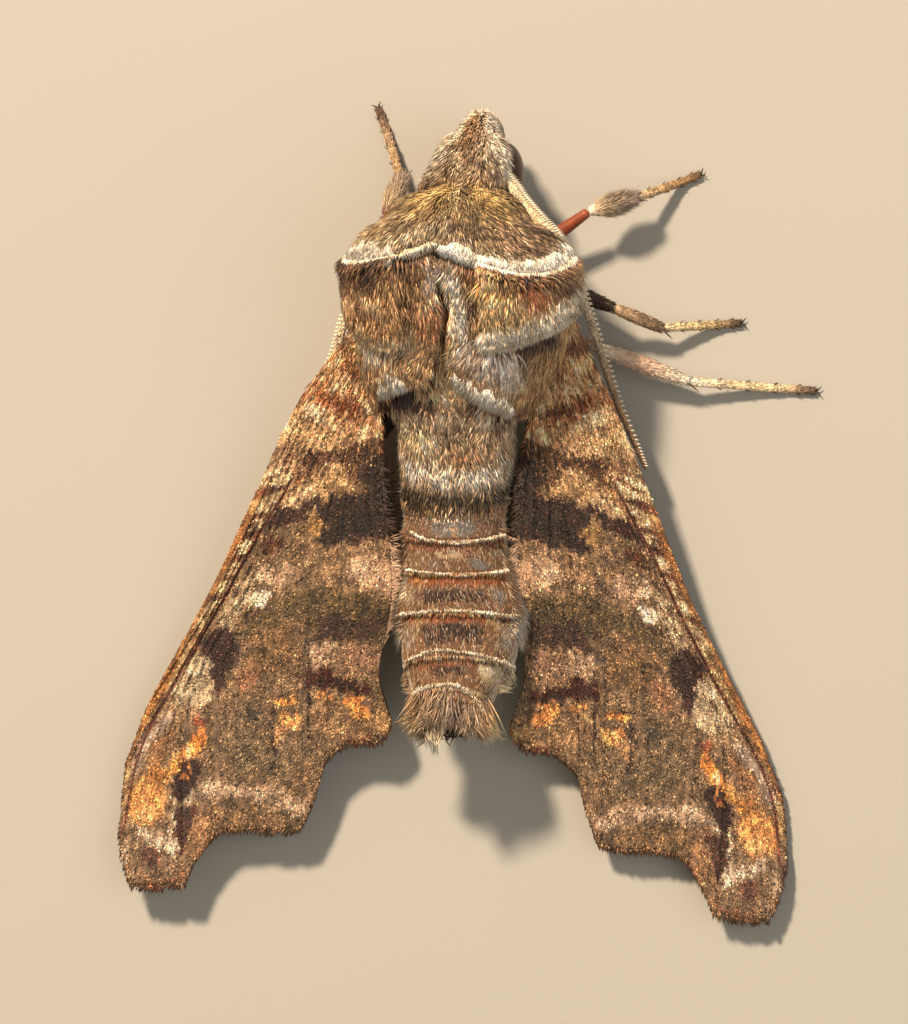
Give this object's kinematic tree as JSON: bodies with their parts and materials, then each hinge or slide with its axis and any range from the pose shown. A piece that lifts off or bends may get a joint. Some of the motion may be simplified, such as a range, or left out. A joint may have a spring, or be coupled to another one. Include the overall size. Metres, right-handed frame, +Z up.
{
  "type": "lettered sphinx moth",
  "caption": "Resting hawk moth, a still model: swept-back scalloped forewings, furred thorax with collar and shoulder flaps, ringed abdomen turned up at the tail, spread legs.",
  "frame": {"origin": "middle of the bounding box in X and Y, on the floor that the feet stand on", "axes": "+Y from tail to head, +X to the moth's right, +Z up from the floor"},
  "size_m": [0.0341, 0.0395, 0.0104],
  "materials": {
    "fur": "dense brown scale fur, matt",
    "collar": "golden-brown scale fur with a cream rear edge",
    "shoulder": "brown and grey scale fur with a pale edge",
    "ring": "close flat scales, white at each ring's rear edge",
    "tuft": "long flat hair scales, orange-brown",
    "eye": "dark red-brown, glossy, finely faceted",
    "feeler": "cream scaled shaft, toothed below",
    "wing": "scaled membrane, banded brown, grey, cream and orange",
    "underwing": "scaled membrane, orange-brown with a dark border",
    "leg": "straw-coloured close scales, darker below"
  },
  "bodies": {
    "root": {"abdomen_1": "ring", "abdomen_2": "ring", "abdomen_3": "ring", "abdomen_4": "ring", "abdomen_5": "ring", "abdomen_6": "ring", "antenna_left": "feeler", "antenna_right": "feeler", "collar_left": "collar", "collar_right": "collar", "eye_left": "eye", "eye_right": "eye", "femur_fore_left": "leg", "femur_fore_right": "leg", "femur_hind_left": "leg", "femur_hind_right": "leg", "femur_mid_left": "leg", "femur_mid_right": "leg", "forewing_left": "wing", "forewing_right": "wing", "head": "fur", "hindwing_left": "underwing", "hindwing_right": "underwing", "palp_left": "fur", "palp_right": "fur", "shoulder_left": "shoulder", "shoulder_right": "shoulder", "tail_tuft": "tuft", "tarsus_fore_left": "leg", "tarsus_fore_right": "leg", "tarsus_hind_left": "leg", "tarsus_hind_right": "leg", "tarsus_mid_left": "leg", "tarsus_mid_right": "leg", "tegula_left": "shoulder", "tegula_right": "shoulder", "thorax": "fur", "tibia_fore_left": "leg", "tibia_fore_right": "leg", "tibia_hind_left": "leg", "tibia_hind_right": "leg", "tibia_mid_left": "leg", "tibia_mid_right": "leg"}
  },
  "joints": []
}
